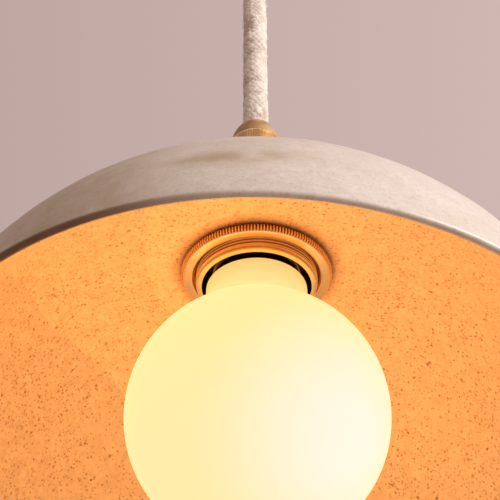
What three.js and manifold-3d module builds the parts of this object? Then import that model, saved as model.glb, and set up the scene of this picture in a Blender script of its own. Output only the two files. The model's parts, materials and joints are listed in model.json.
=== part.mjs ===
// A pendant light: a shallow stoneware dome on a brass lampholder, hung on a thick linen-covered
// flex from a brass ceiling cup, with an opal globe bulb. Millimetres, +Z up. The origin is the
// centre of the ceiling bracket's top face, so the whole light hangs below Z = 0.
import * as THREE from "three";
import { mergeVertices } from "three/addons/utils/BufferGeometryUtils.js";
import Module from "manifold-3d";

const wasm = await Module();
wasm.setup();

// Driving dimensions. Heights (z) are measured up from the lampholder's lip, which lies
// LIP_DEPTH below the ceiling; every piece is drawn in that frame and lowered once at the end.
const LIP_DEPTH = 231;
const GAP = 0.3;

const DOME = {
  hole: 20.3,
  seat: 26.1,
  top: 13.6,
  crown: 72,
  flank: 108.9,
  flankCentre: -84.5,
  rimStart: 19.5,
};
const BOWL = { top: 6.8, seat: 29.1, crown: 64.2, flank: 105.3, flankCentre: -86.5, rimStart: 20.2 };
const RIM = { outerRound: 2.6, innerRound: 1.3 };

const HOLDER = { bore: 17.5, thread: 19.6, lip: 19.25, groove: 18.9, top: 25.5, ledge: 11 };
const CAP = { flange: 20.2, bottom: 25.7, shoulder: 29, top: 49, base: 18.6, crown: 8.5, wall: 1.2 };
const SHADE_RING = { bore: 20.0, radius: 24.3, height: 2.5, lower: 3.45, upper: 14.65 };
const WASHER = { bore: 20.3, radius: 22.8, height: 0.7, lower: 6.05, upper: 13.7 };
const CORE = { radius: 15.9, flange: 17.1, bottom: 11.2, top: 33, bore: 14.4, floor: 28 };
const TERMINAL_RING = 9.5;
const SHELL = { radius: 14.1, wall: 0.6, bottom: 5, top: 27.6 };

const CORD_RADIUS = 4.25;
const CORD_BORE = 4.65;
const FLEX_RADIUS = 3.2;
const FLEX_BORE = 3.6;
const CORE_WIRE_RADIUS = 1.15;
const NIPPLE_RADIUS = 5.0;
const NIPPLE_HOLE = 5.35;
const GRIP = { nutTop: 70.9, nutBottom: 51.5, bodyTop: 59, seat: 55, band: 8.9, bandTop: 63.2 };

const GLOBE = { radius: 40, centre: -50.1, neck: 16.15, fillet: 6, wall: 1.1, neckTop: -0.6 };
const BULB_CAP = { radius: 13.1, wall: 0.5, top: 20.2, coneTop: 23, tip: 25.9 };
const FILAMENT = { ring: 6.5, radius: 0.8, top: -24, bottom: -60 };

const ROSE = { radius: 50, wall: 1.5, bottom: 205, corner: 7, top: 230.5 };
const ROSE_GRIP = { radius: 9.2, bottom: 190, cavity: 7.5, cavityTop: 198.8, nippleTop: 211.5 };
const SWING = { height: 193.6, ball: 7.1, halfLength: 2.0, bore: 5.5 };
const BRACKET = { span: 93, width: 22, thickness: 2, leg: 15, slotAt: 32, slotLength: 10, slotWidth: 5 };
const SIDE_SCREW = { height: 222.5, radius: 2.0, head: 3.6 };
const BLOCK = { near: 7.5, length: 17, width: 26, bottom: 213, top: 228.6, pitch: 8.5, entry: 221 };
const POLE_NAMES = ["live", "earth", "neutral"];

const brass = () => new THREE.MeshStandardMaterial({ color: 0xc79a55, roughness: 0.32, metalness: 1 });
const steel = () => new THREE.MeshStandardMaterial({ color: 0xb9bbbd, roughness: 0.35, metalness: 1 });
const stoneware = () => new THREE.MeshStandardMaterial({ color: 0xe6d8c6, roughness: 0.25, metalness: 0 });
const opalGlass = () => new THREE.MeshStandardMaterial({ color: 0xfff1cf, roughness: 0.55, metalness: 0 });
const linen = () => new THREE.MeshStandardMaterial({ color: 0xd8cdbd, roughness: 0.95, metalness: 0 });
const porcelain = () => new THREE.MeshStandardMaterial({ color: 0xf2efe8, roughness: 0.3, metalness: 0 });
const phenolic = () => new THREE.MeshStandardMaterial({ color: 0x211c1a, roughness: 0.5, metalness: 0 });
const fibre = () => new THREE.MeshStandardMaterial({ color: 0x3a2218, roughness: 0.9, metalness: 0 });
const nylon = () => new THREE.MeshStandardMaterial({ color: 0xe8e4da, roughness: 0.6, metalness: 0 });
const rubber = () => new THREE.MeshStandardMaterial({ color: 0x2b2624, roughness: 0.85, metalness: 0 });
const flexSheath = () => new THREE.MeshStandardMaterial({ color: 0xe9e6e0, roughness: 0.6, metalness: 0 });
const blackGlass = () => new THREE.MeshStandardMaterial({ color: 0x141214, roughness: 0.2, metalness: 0 });
const phosphor = () => new THREE.MeshStandardMaterial({ color: 0xffc95a, roughness: 0.6, metalness: 0 });
const board = () => new THREE.MeshStandardMaterial({ color: 0x2f6b45, roughness: 0.6, metalness: 0 });
const coreColours = { live: 0x6b3f22, neutral: 0x2f5f9e, earth: 0x7fae3a };
const coreInsulation = (pole) =>
  new THREE.MeshStandardMaterial({ color: coreColours[pole], roughness: 0.55, metalness: 0 });

const light = new THREE.Group();
light.position.z = -LIP_DEPTH;

function add(name, geometry, material) {
  const mesh = new THREE.Mesh(geometry, material);
  mesh.name = name;
  light.add(mesh);
}

// Points along an arc in the (radius, height) half-plane, between two angles in degrees.
function arc(r, z, radius, from, to, steps) {
  return Array.from({ length: steps + 1 }, (_, i) => {
    const angle = THREE.MathUtils.degToRad(from + ((to - from) * i) / steps);
    return [r + radius * Math.cos(angle), z + radius * Math.sin(angle)];
  });
}

// The same for a quarter ellipse, from its widest radius up to its top.
function quarterEllipse(r, z, across, up, steps) {
  return arc(0, 0, 1, 0, 90, steps).map(([c, s]) => [r + across * c, z + up * s]);
}

// A solid of revolution about Z. The outline is a loop of [radius, height] points, or a line
// that starts and ends on the axis; its faces are made to point outwards either way round.
function turned(outline, segments) {
  const points = outline.map(([r, z]) => new THREE.Vector2(r, z));
  const endsOnAxis = points[0].x === 0 && points.at(-1).x === 0;
  if (THREE.ShapeUtils.area(points) < 0) points.reverse();
  if (!endsOnAxis) points.push(points[0].clone());
  return new THREE.LatheGeometry(points, segments).rotateX(Math.PI / 2);
}

// A plain round tube or, with an inner radius of 0, a plain round bar.
function sleeve(inner, outer, bottom, top, segments) {
  return turned([[inner, bottom], [outer, bottom], [outer, top], [inner, top]], segments);
}

function solidOf(geometry) {
  const bare = geometry.clone();
  bare.deleteAttribute("normal");
  bare.deleteAttribute("uv");
  const merged = mergeVertices(bare, 1e-4);
  return new wasm.Manifold(
    new wasm.Mesh({
      numProp: 3,
      vertProperties: new Float32Array(merged.attributes.position.array),
      triVerts: new Uint32Array(merged.index.array),
    }),
  );
}

function geometryOf(solid) {
  const mesh = solid.getMesh();
  return new THREE.BufferGeometry()
    .setAttribute("position", new THREE.BufferAttribute(mesh.vertProperties, 3))
    .setIndex(new THREE.BufferAttribute(mesh.triVerts, 1));
}

function cut(body, tools) {
  return geometryOf(tools.reduce((solid, tool) => solid.subtract(solidOf(tool)), solidOf(body)));
}

// A round bar between two points, used both as a piece and as a drill.
function bar(from, to, radius, segments) {
  const start = new THREE.Vector3(...from);
  const end = new THREE.Vector3(...to);
  const length = start.distanceTo(end);
  const turn = new THREE.Quaternion().setFromUnitVectors(
    new THREE.Vector3(0, 1, 0),
    end.clone().sub(start).normalize(),
  );
  const middle = start.clone().add(end).multiplyScalar(0.5);
  return new THREE.CylinderGeometry(radius, radius, length, segments)
    .applyQuaternion(turn)
    .translate(middle.x, middle.y, middle.z);
}

function hexNut(acrossFlats, bore, bottom, top) {
  const radius = acrossFlats / Math.sqrt(3);
  const blank = bar([0, 0, bottom], [0, 0, top], radius, 6);
  return cut(blank, [bar([0, 0, bottom - 1], [0, 0, top + 1], bore, 14)]);
}

// A round wire or cord along a smooth line through the points.
function wire(points, radius, sides, steps) {
  const section = Array.from({ length: sides }, (_, i) => {
    const angle = (2 * Math.PI * i) / sides;
    return new THREE.Vector2(radius * Math.cos(angle), radius * Math.sin(angle));
  });
  return new THREE.ExtrudeGeometry(new THREE.Shape(section), {
    steps,
    bevelEnabled: false,
    extrudePath: new THREE.CatmullRomCurve3(points.map((p) => new THREE.Vector3(...p))),
  });
}

// The dome: a flat seat round the hole, a tighter crown, a nearly spherical flank, a round rim.
function domeShade() {
  const outerTurn = THREE.MathUtils.degToRad(DOME.rimStart);
  const outerReach = DOME.flank - RIM.outerRound;
  const innerTurn = THREE.MathUtils.degToRad(BOWL.rimStart);
  const innerReach = BOWL.flank + RIM.innerRound;
  const outside = [
    [DOME.hole, DOME.top],
    ...arc(DOME.seat, DOME.top - DOME.crown, DOME.crown, 90, 45, 4),
    ...arc(0, DOME.flankCentre, DOME.flank, 45, DOME.rimStart, 4).slice(1),
    ...arc(
      outerReach * Math.cos(outerTurn),
      DOME.flankCentre + outerReach * Math.sin(outerTurn),
      RIM.outerRound,
      DOME.rimStart,
      -90,
      4,
    ).slice(1),
  ];
  const inside = [
    ...arc(
      innerReach * Math.cos(innerTurn),
      BOWL.flankCentre + innerReach * Math.sin(innerTurn),
      RIM.innerRound,
      -90,
      BOWL.rimStart - 180,
      2,
    ).slice(1),
    ...arc(0, BOWL.flankCentre, BOWL.flank, BOWL.rimStart, 45, 4).slice(1),
    ...arc(BOWL.seat, BOWL.top - BOWL.crown, BOWL.crown, 45, 90, 4).slice(1),
    [DOME.hole, BOWL.top],
  ];
  add("dome_shade", turned([...outside, ...inside], 56), stoneware());
}

function shadeRing(name, bottom, chamferAt) {
  const top = bottom + SHADE_RING.height;
  const { bore, radius } = SHADE_RING;
  const outline = [
    [bore, bottom + 0.75],
    [bore + 0.9, bottom],
    [radius - 0.8, bottom],
    [radius, bottom + 0.65],
    [radius, top],
    [bore, top],
  ];
  const turnedOver = outline.map(([r, z]) => [r, bottom + top - z]);
  add(name, turned(chamferAt === "bottom" ? outline : turnedOver, 32), brass());
}

function washer(name, bottom) {
  add(name, sleeve(WASHER.bore, WASHER.radius, bottom, bottom + WASHER.height, 24), fibre());
}

// The lampholder's outer tube, with the shade-ring thread drawn at its crest radius.
function holderSkirt() {
  const { bore, thread, lip, groove, top, ledge } = HOLDER;
  const outline = [
    [bore, 0],
    [lip, 0],
    [lip, 0.5],
    [groove, 0.7],
    [groove, 1.2],
    [thread, 1.5],
    [thread, top],
    [bore, top],
    [bore, ledge],
    [bore - 1.4, ledge],
    [bore - 1.4, ledge - 2],
    [bore, ledge - 3],
  ];
  add("holder_skirt", turned(outline, 32), brass());
}

// The bell-shaped cap that closes the lampholder, with a spigot down inside the skirt.
function holderCap() {
  const { flange, bottom, shoulder, top, base, crown, wall } = CAP;
  const spigot = HOLDER.bore - GAP;
  const outside = [
    [spigot - 1, 20],
    [spigot, 20],
    [spigot, bottom],
    [flange, bottom],
    [flange, bottom + 2.2],
    ...quarterEllipse(crown, shoulder, base - crown, top - shoulder, 5),
    [NIPPLE_HOLE, top],
  ];
  const inside = quarterEllipse(crown - 1, shoulder, base - crown - 0.3, top - shoulder - wall, 4);
  const outline = [...outside, [NIPPLE_HOLE, top - wall], ...inside.reverse()];
  add("holder_cap", turned(outline, 28), brass());
}

function terminalPlaces() {
  return POLE_NAMES.map((pole, i) => {
    const angle = (2 * Math.PI * i) / 3 + Math.PI / 6;
    return { pole, angle, x: TERMINAL_RING * Math.cos(angle), y: TERMINAL_RING * Math.sin(angle) };
  });
}

// The moulded core: a cup for the screw shell, with three blind holes for terminal screws.
function holderCore() {
  const { radius, flange, bottom, top, bore, floor } = CORE;
  const body = turned(
    [
      [0, floor],
      [bore, floor],
      [bore, bottom],
      [flange, bottom],
      [flange, bottom + 2.3],
      [radius, bottom + 2.8],
      [radius, top],
      [0, top],
    ],
    24,
  );
  const drills = terminalPlaces().map(({ x, y }) => bar([x, y, top - 3.5], [x, y, top + 1], 1.7, 8));
  add("holder_core", cut(body, drills), phenolic());
}

function terminalScrews() {
  const headBottom = CORE.top + 2.8;
  const outline = [
    [0, CORE.top - 3],
    [1.3, CORE.top - 3],
    [1.3, headBottom],
    [3.1, headBottom],
    [3.1, headBottom + 1.1],
    [1.9, headBottom + 1.9],
    [0, headBottom + 1.9],
  ];
  for (const { pole, x, y } of terminalPlaces())
    add(`holder_terminal_${pole}`, turned(outline, 10).translate(x, y, 0), brass());
}

function screwShell() {
  const { radius, wall, bottom, top } = SHELL;
  const outline = [
    [radius - wall, bottom],
    [radius, bottom],
    [radius, top],
    [7, top],
    [7, top - wall],
    [radius - wall, top - wall],
  ];
  add("screw_shell", turned(outline, 24), brass());
}

// The springy tongue that presses on the bulb's end contact.
function centreContact() {
  const tip = BULB_CAP.tip + GAP;
  const lowerEdge = [[-5.6, 27.4], [-1.2, tip], [1.2, tip], [5.6, 27.1]];
  const upperEdge = [[5.6, 27.6], [1.1, tip + 0.5], [-1.1, tip + 0.5], [-5.6, 27.9]];
  const outline = [...lowerEdge, ...upperEdge].map(([x, z]) => new THREE.Vector2(x, z));
  const width = 5;
  const geometry = new THREE.ExtrudeGeometry(new THREE.Shape(outline), { depth: width, bevelEnabled: false })
    .rotateX(Math.PI / 2)
    .translate(0, width / 2, 0);
  add("centre_contact", geometry, brass());
}

// The cord grip on top of the lampholder: a hollow body, its lock nut, a clamping ferrule and
// the knurled bell nut that squeezes the ferrule round the cord.
function cordGrip() {
  const { nutTop, nutBottom, bodyTop, seat, band, bandTop } = GRIP;
  const body = [
    [FLEX_BORE, CAP.top - 7],
    [NIPPLE_RADIUS, CAP.top - 7],
    [NIPPLE_RADIUS, CAP.top + 0.15],
    [7.9, CAP.top + 0.15],
    [7.9, nutBottom - GAP],
    [7.4, nutBottom - GAP],
    [7.4, bodyTop],
    [CORD_BORE, bodyTop],
    [CORD_BORE, seat],
    [FLEX_BORE, seat],
  ];
  add("grip_body", turned(body, 18), brass());
  add("grip_lock_nut", hexNut(14, NIPPLE_HOLE, CAP.top - 4, CAP.top - 1.5), steel());
  const ferrule = [
    [CORD_BORE, bodyTop + 0.4],
    [6.7, bodyTop + 0.4],
    [6.7, bodyTop + 2.4],
    [5.15, 65.2],
    [CORD_BORE, 65.2],
  ];
  add("grip_ferrule", turned(ferrule, 14), nylon());
  const nut = [
    [7.85, nutBottom],
    [band - 0.5, nutBottom],
    [band - 0.5, 55.5],
    [band, 56],
    [band, bandTop],
    ...arc(-5.35, 62, 14, 7, 37, 4),
    ...arc(5, nutTop - 1, 1, 37, 90, 2).slice(1),
    [CORD_BORE + 0.1, nutTop],
    [CORD_BORE + 0.1, 66.6],
    [7.85, 62],
  ];
  add("grip_nut", turned(nut, 24), brass());
}

// The hanging cord, from inside the lamp's grip up to its flexing point in the ceiling grip.
// Beyond its two ends only the thinner inner flex goes on.
function cord() {
  const bottom = GRIP.seat + 1;
  const top = SWING.height + SWING.halfLength;
  const route = Array.from({ length: 8 }, (_, i) => [0, 0, bottom + ((top - bottom) * i) / 7]);
  add("cord", wire(route, CORD_RADIUS, 12, 7), linen());
  add("lamp_flex_end", sleeve(0, FLEX_RADIUS, CAP.top - 10.5, GRIP.seat + 0.7, 16), flexSheath());
  add("rose_flex_end", sleeve(0, FLEX_RADIUS, SWING.height + 4.2, 212.5, 16), flexSheath());
}

function holderWires() {
  const start = CAP.top - 10.8;
  const end = CORE.top + 1.45;
  for (const { pole, angle } of terminalPlaces()) {
    const at = (r, swing, z) => [r * Math.cos(angle + swing), r * Math.sin(angle + swing), z];
    const route = [at(1.7, 0, start), at(2.1, 0, start - 1.3), at(5.2, 0.25, end + 0.5), at(9.9, 0.31, end)];
    add(`holder_wire_${pole}`, wire(route, CORE_WIRE_RADIUS, 8, 7), coreInsulation(pole));
  }
}

// The opal globe: a sphere with a wide neck, filleted together, open at the top of the neck.
function bulbGlass() {
  const { radius, centre, neck, fillet, wall, neckTop } = GLOBE;
  const filletReach = radius + fillet;
  const filletRadius = neck + fillet;
  const filletHeight = centre + Math.sqrt(filletReach ** 2 - filletRadius ** 2);
  const join = THREE.MathUtils.radToDeg(Math.acos(filletRadius / filletReach));
  const outside = [
    [0, centre - radius],
    ...arc(0, centre, radius, -90, join, 11).slice(1),
    ...arc(filletRadius, filletHeight, fillet, 180 + join, 180, 2).slice(1),
    ...arc(neck - 0.9, neckTop - 0.9, 0.9, 0, 90, 2),
  ];
  const inside = [
    [12.2, neckTop],
    [12.2, neckTop - wall],
    [neck - wall, neckTop - wall],
    [neck - wall, filletHeight],
    ...arc(0, centre, radius - wall, join - 2, -90, 8),
  ];
  inside.at(-1)[0] = 0;
  add("bulb_glass", turned([...outside, ...inside], 32), opalGlass());
}

function bulbCap() {
  const { radius, wall, top, coneTop, tip } = BULB_CAP;
  const shell = [
    [radius - wall, -0.4],
    [radius, -0.4],
    [radius, top],
    [9.2, coneTop],
    [8.6, coneTop - GAP],
    [radius - wall, top - GAP],
  ];
  add("bulb_cap", turned(shell, 24), steel());
  add("bulb_insulator", turned([[3.4, 23.3], [8.8, 23.3], [4.6, 24.9], [3.4, 24.9]], 14), blackGlass());
  const button = [[0, 22], [3, 22], [3, 25.15], [4.2, 25.15], [3.6, tip - 0.15], [0, tip]];
  add("bulb_contact", turned(button, 12), steel());
}

// Inside the globe: a stem with two discs, four LED filaments between them and the driver board.
function bulbInside() {
  const { ring, radius, top, bottom } = FILAMENT;
  const stem = [
    [0, bottom - 2.2],
    [ring + 2, bottom - 2.2],
    [ring + 2, bottom - 1],
    [1.8, bottom - 1],
    [1.8, top + 1],
    [ring + 2, top + 1],
    [ring + 2, top + 2.2],
    [2.6, top + 2.2],
    [4.5, -9],
    [11.4, -3.2],
    [11.4, -2],
    [0, -2],
  ];
  add("bulb_stem", turned(stem, 14), porcelain());
  for (let i = 0; i < 4; i++) {
    const angle = (Math.PI / 2) * i + Math.PI / 4;
    const x = ring * Math.cos(angle);
    const y = ring * Math.sin(angle);
    const rod = bar([x, y, bottom - 0.7], [x, y, top + 0.7], radius, 8);
    add(`led_filament_${i + 1}`, rod, phosphor());
  }
  add("bulb_driver_board", new THREE.BoxGeometry(15, 1.6, 18).translate(0, 0, 9.5), board());
}

// The brass cup that covers the ceiling bracket, drilled for its two side screws.
function roseCup() {
  const { radius, wall, bottom, corner, top } = ROSE;
  const inner = corner - wall;
  const outline = [
    [NIPPLE_HOLE, bottom],
    ...arc(radius - corner, bottom + corner, corner, -90, 0, 3),
    [radius, top],
    [radius - wall, top],
    ...arc(radius - corner, bottom + corner, inner, 0, -90, 3),
    [NIPPLE_HOLE, bottom + wall],
  ];
  const { height } = SIDE_SCREW;
  const drill = bar([-radius - 5, 0, height], [radius + 5, 0, height], SIDE_SCREW.radius + GAP, 12);
  add("rose_cup", cut(turned(outline, 40), [drill]), brass());
}

// The grip under the cup: a nipple up through it, a grub screw, and a wide mouth where the
// cord flexes in a round-sided bush.
function roseGrip() {
  const { radius, bottom, cavity, cavityTop, nippleTop } = ROSE_GRIP;
  const outline = [
    [cavity, bottom],
    [radius - 0.7, bottom],
    [radius, bottom + 0.7],
    [radius, 201.8],
    [11.5, 203.4],
    [11.5, ROSE.bottom - 0.15],
    [NIPPLE_RADIUS, ROSE.bottom - 0.15],
    [NIPPLE_RADIUS, nippleTop],
    [FLEX_BORE, nippleTop],
    [FLEX_BORE, cavityTop],
    [cavity, cavityTop],
  ];
  const screwHeight = 200.4;
  const drill = bar([0, -radius - 4, screwHeight], [0, 0, screwHeight], 1.45, 8);
  add("rose_grip", cut(turned(outline, 24), [drill]), brass());
  add("rose_grip_screw", bar([0, -8.7, screwHeight], [0, -3.5, screwHeight], 1.15, 10), steel());
  const nutBottom = ROSE.bottom + ROSE.wall + 0.2;
  add("rose_lock_nut", hexNut(14, NIPPLE_HOLE, nutBottom, nutBottom + 2.8), steel());
  const { height, ball, halfLength, bore } = SWING;
  const half = THREE.MathUtils.radToDeg(Math.asin(halfLength / ball));
  const bush = [
    ...arc(0, height, ball, -half, half, 2),
    [bore, height + halfLength],
    [bore, height - halfLength],
  ];
  add("cord_bush", turned(bush, 18), rubber());
}

// The strap that screws to the ceiling, with a turned-down leg at each end for the cup's screws.
function ceilingBracket() {
  const { span, width, thickness, leg, slotAt, slotLength, slotWidth } = BRACKET;
  const half = span / 2;
  const profile = [
    [-half, -leg],
    [-half, 0],
    [half, 0],
    [half, -leg],
    [half - thickness, -leg],
    [half - thickness, -thickness],
    [thickness - half, -thickness],
    [thickness - half, -leg],
  ].map(([x, z]) => new THREE.Vector2(x, z));
  const strap = new THREE.ExtrudeGeometry(new THREE.Shape(profile), { depth: width, bevelEnabled: false })
    .rotateX(Math.PI / 2)
    .translate(0, width / 2, LIP_DEPTH);
  const slots = [-1, 1].flatMap((side) => {
    const x = side * slotAt;
    const reach = (slotLength - slotWidth) / 2;
    const ends = [x - reach, x + reach].map((at) =>
      bar([at, 0, LIP_DEPTH - 5], [at, 0, LIP_DEPTH + 5], slotWidth / 2, 10),
    );
    const middle = new THREE.BoxGeometry(2 * reach, slotWidth, 10).translate(x, 0, LIP_DEPTH);
    return [...ends, middle];
  });
  const { height, radius } = SIDE_SCREW;
  const drill = bar([-span, 0, height], [span, 0, height], radius + GAP, 12);
  const [x, y] = blockScrewPlace();
  const blockHole = bar([x, y, LIP_DEPTH - 5], [x, y, LIP_DEPTH + 5], 1.7, 8);
  add("ceiling_bracket", cut(strap, [...slots, drill, blockHole]), steel());
}

function sideScrews() {
  const { height, radius, head } = SIDE_SCREW;
  const seat = ROSE.radius + 0.15;
  const outline = [
    [0, 43],
    [radius, 43],
    [radius, seat],
    [head, seat],
    [head, seat + 1.4],
    [head - 1, seat + 2.2],
    [0, seat + 2.2],
  ];
  for (const [name, side] of [["left", -1], ["right", 1]]) {
    const screw = turned(outline, 14)
      .rotateY((side * Math.PI) / 2)
      .translate(0, 0, height);
    add(`cup_screw_${name}`, screw, brass());
  }
}

function blockScrewPlace() {
  return [BLOCK.near + BLOCK.length - 4, BLOCK.pitch / 2];
}

function poleOffset(i) {
  return (1 - i) * BLOCK.pitch;
}

// The three-way terminal block under the strap: a wire bore and a screw well for each pole.
function terminalBlock() {
  const { near, length, width, bottom, top, entry } = BLOCK;
  const far = near + length;
  const wellAt = near + 5;
  const box = new THREE.BoxGeometry(length, width, top - bottom).translate(
    near + length / 2,
    0,
    (bottom + top) / 2,
  );
  const drills = POLE_NAMES.flatMap((_, i) => {
    const y = poleOffset(i);
    return [
      bar([near - 1, y, entry], [far + 1, y, entry], 1.8, 10),
      bar([wellAt, y, bottom - 1], [wellAt, y, entry], 2.2, 10),
    ];
  });
  const [x, y] = blockScrewPlace();
  drills.push(bar([x, y, bottom - 1], [x, y, top + 1], 1.7, 8));
  add("terminal_block", cut(box, drills), nylon());
  POLE_NAMES.forEach((pole, i) => {
    const screw = bar([wellAt, poleOffset(i), bottom + 0.5], [wellAt, poleOffset(i), entry - 1.5], 1.8, 10);
    add(`block_terminal_${pole}`, screw, brass());
  });
  const fixing = [
    [0, bottom - 2.2],
    [2.6, bottom - 2.2],
    [2.6, bottom - 0.2],
    [1.3, bottom - 0.2],
    [1.3, LIP_DEPTH - GAP],
    [0, LIP_DEPTH - GAP],
  ];
  add("block_fixing_screw", turned(fixing, 10).translate(x, y, 0), steel());
}

function roseWires() {
  const start = 212.8;
  POLE_NAMES.forEach((pole, i) => {
    const angle = ((1 - i) * 2 * Math.PI) / 3;
    const x = 1.75 * Math.cos(angle);
    const y = 1.75 * Math.sin(angle);
    const end = poleOffset(i);
    const { near, entry } = BLOCK;
    const route = [
      [x, y, start],
      [x, y, start + 3],
      [x + 1.2, (y + end) / 2, entry - 2],
      [near, end, entry],
      [near + 5.5, end, entry],
    ];
    add(`rose_wire_${pole}`, wire(route, CORE_WIRE_RADIUS, 8, 8), coreInsulation(pole));
  });
}

ceilingBracket();
terminalBlock();
roseWires();
roseCup();
sideScrews();
roseGrip();
cord();
cordGrip();
holderCap();
holderWires();
holderCore();
terminalScrews();
screwShell();
centreContact();
holderSkirt();
shadeRing("upper_shade_ring", SHADE_RING.upper, "top");
washer("upper_washer", WASHER.upper);
domeShade();
washer("lower_washer", WASHER.lower);
shadeRing("lower_shade_ring", SHADE_RING.lower, "bottom");
bulbCap();
bulbInside();
bulbGlass();

export default light;
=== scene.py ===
"""The looks of a pendant light: a glazed stoneware dome on a brass lampholder and a linen cord."""
import itertools
import json
import math
from types import SimpleNamespace as Sizes

import bmesh
import bpy
import numpy as np
from mathutils import Matrix, Vector


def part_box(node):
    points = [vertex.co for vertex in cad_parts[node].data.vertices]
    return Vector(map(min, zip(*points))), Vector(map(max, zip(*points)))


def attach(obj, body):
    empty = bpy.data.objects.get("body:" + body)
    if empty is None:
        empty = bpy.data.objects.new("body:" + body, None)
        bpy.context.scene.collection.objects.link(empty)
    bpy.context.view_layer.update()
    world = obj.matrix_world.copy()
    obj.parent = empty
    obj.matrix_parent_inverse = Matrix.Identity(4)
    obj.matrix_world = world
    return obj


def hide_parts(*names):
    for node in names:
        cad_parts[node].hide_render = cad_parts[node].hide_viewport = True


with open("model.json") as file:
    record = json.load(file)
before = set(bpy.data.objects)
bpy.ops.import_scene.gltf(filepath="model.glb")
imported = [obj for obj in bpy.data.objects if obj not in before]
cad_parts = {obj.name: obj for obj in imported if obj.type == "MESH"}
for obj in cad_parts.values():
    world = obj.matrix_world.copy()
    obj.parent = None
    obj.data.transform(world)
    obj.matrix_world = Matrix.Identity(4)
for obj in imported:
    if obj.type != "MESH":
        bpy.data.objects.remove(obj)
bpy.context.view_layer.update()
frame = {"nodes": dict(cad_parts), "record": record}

# Lengths are in millimetres, and heights are above the lampholder's lip. MM and LIP turn them
# into the frame's metres.
MM = 0.001
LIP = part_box("holder_skirt")[0].z
TAU = 2 * math.pi


def heights(node):
    """The lowest and highest height of a CAD node."""
    return [(corner.z - LIP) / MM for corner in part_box(node)]


def put(name, data):
    """A new object in the scene."""
    made = bpy.data.objects.new(name, data)
    bpy.context.scene.collection.objects.link(made)
    return made


# ---------------------------------------------------------------- camera, light and surroundings


def make_camera():
    """The low viewpoint in front of the lamp, looking up into the dome."""
    data = bpy.data.cameras.new("camera")
    data.sensor_width = 36
    data.lens = 112.65
    data.clip_start = 0.01
    camera = put("camera", data)
    pitch, yaw, roll = (math.radians(a) for a in (40.35, -0.31, -0.17))
    place = Matrix.Translation((0, -0.3896, -0.5462))
    turn = Matrix.Rotation(-yaw, 4, "Z") @ Matrix.Rotation(math.pi / 2 + pitch, 4, "X")
    camera.matrix_world = place @ turn @ Matrix.Rotation(roll, 4, "Z")
    bpy.context.scene.camera = camera


def new_light(name, kind, power, colour, place):
    """A light without a size yet."""
    data = bpy.data.lights.new(name, kind)
    data.energy = power
    data.color = colour
    light = put(name, data)
    light.location = place
    return light


def make_key_light():
    """The daylight from the right, turned towards the dome."""
    place, dome = Vector((0.92, -0.52, 0.17)), Vector((0, 0, LIP))
    light = new_light("key_light", "AREA", 9.3, (1.0, 0.97, 0.93), place)
    light.data.shape = "DISK"
    light.data.size = 0.42
    light.rotation_euler = (dome - place).to_track_quat("-Z", "Y").to_euler()


def make_bulb_light():
    """The bulb's own warm light, a little left of the globe's middle. It moves with the bulb."""
    place = (-10 * MM, 3 * MM, LIP + GLOBE.centre * MM)
    light = new_light("bulb_glow", "POINT", 0.345, (1.0, 0.34, 0.06), place)
    light.data.shadow_soft_size = (GLOBE.radius - 2) * MM
    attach(light, "bulb")


def make_world():
    """Soft room light: mauve and brightest on the right, brown from below, and a pale glow
    behind the viewer."""
    world = bpy.data.worlds.new("room")
    bpy.context.scene.world = world
    world.use_nodes = True
    nodes, links = world.node_tree.nodes, world.node_tree.links
    way = nodes.new("ShaderNodeTexCoord").outputs["Generated"]
    split = nodes.new("ShaderNodeSeparateXYZ")
    links.new(way, split.inputs[0])

    def tinted(value, stops):
        tint = nodes.new("ShaderNodeValToRGB")
        ramp(tint, stops)
        links.new(value, tint.inputs[0])
        return tint.outputs[0]

    def joined(blend, first, second):
        mix = nodes.new("ShaderNodeMix")
        mix.data_type = "RGBA"
        mix.blend_type = blend
        mix.inputs["Factor"].default_value = 1.0
        links.new(first, mix.inputs["A"])
        links.new(second, mix.inputs["B"])
        return mix.outputs["Result"]

    shift = nodes.new("ShaderNodeMath")
    shift.operation = "MULTIPLY_ADD"
    shift.inputs[1].default_value = 0.5
    shift.inputs[2].default_value = 0.5
    links.new(split.outputs["X"], shift.inputs[0])
    across = tinted(shift.outputs[0], [
        (0.0, (0.11, 0.07, 0.045)), (0.36, (0.31, 0.21, 0.165)), (0.42, (0.52, 0.39, 0.36)),
        (0.58, (0.63, 0.475, 0.445)), (1.0, (1.0, 0.86, 0.8))])
    from_below = tinted(split.outputs["Z"], [(0.0, (0.72, 0.56, 0.46)), (0.3, (1.0, 1.0, 1.0))])
    towards = nodes.new("ShaderNodeVectorMath")
    towards.operation = "DOT_PRODUCT"
    towards.inputs[1].default_value = (-0.6, -0.66, -0.45)
    links.new(way, towards.inputs[0])
    behind_viewer = tinted(towards.outputs["Value"], [(0.35, (0.0, 0.0, 0.0)), (1.0, (0.4, 0.4, 0.41))])
    room = joined("ADD", joined("MULTIPLY", across, from_below), behind_viewer)
    links.new(room, nodes["Background"].inputs["Color"])


def make_floor():
    """A pale floor two metres under the ceiling."""
    mesh = bpy.data.meshes.new("floor")
    half, depth = 60.0, -2.0
    corners = [(-half, -half, depth), (half, -half, depth), (half, half, depth), (-half, half, depth)]
    mesh.from_pydata(corners, [], [(0, 1, 2, 3)])
    paint = Paint("floor_paint", (0.66, 0.57, 0.48), roughness=0.8)
    paint.colour_from(paint.mix_by(paint.noise(3.0), (0.64, 0.55, 0.46), (0.69, 0.6, 0.51)))
    mesh.materials.append(paint.material)
    put("floor", mesh)


# ---------------------------------------------------------------- material helpers


def ramp(node, stops):
    """Sets a colour ramp's stops: (position, colour) pairs."""
    elements = node.color_ramp.elements
    while len(elements) < len(stops):
        elements.new(0.5)
    for element, (position, colour) in zip(elements, stops):
        element.position = position
        element.color = (*colour, 1) if hasattr(colour, "__len__") else (colour, colour, colour, 1)


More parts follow.
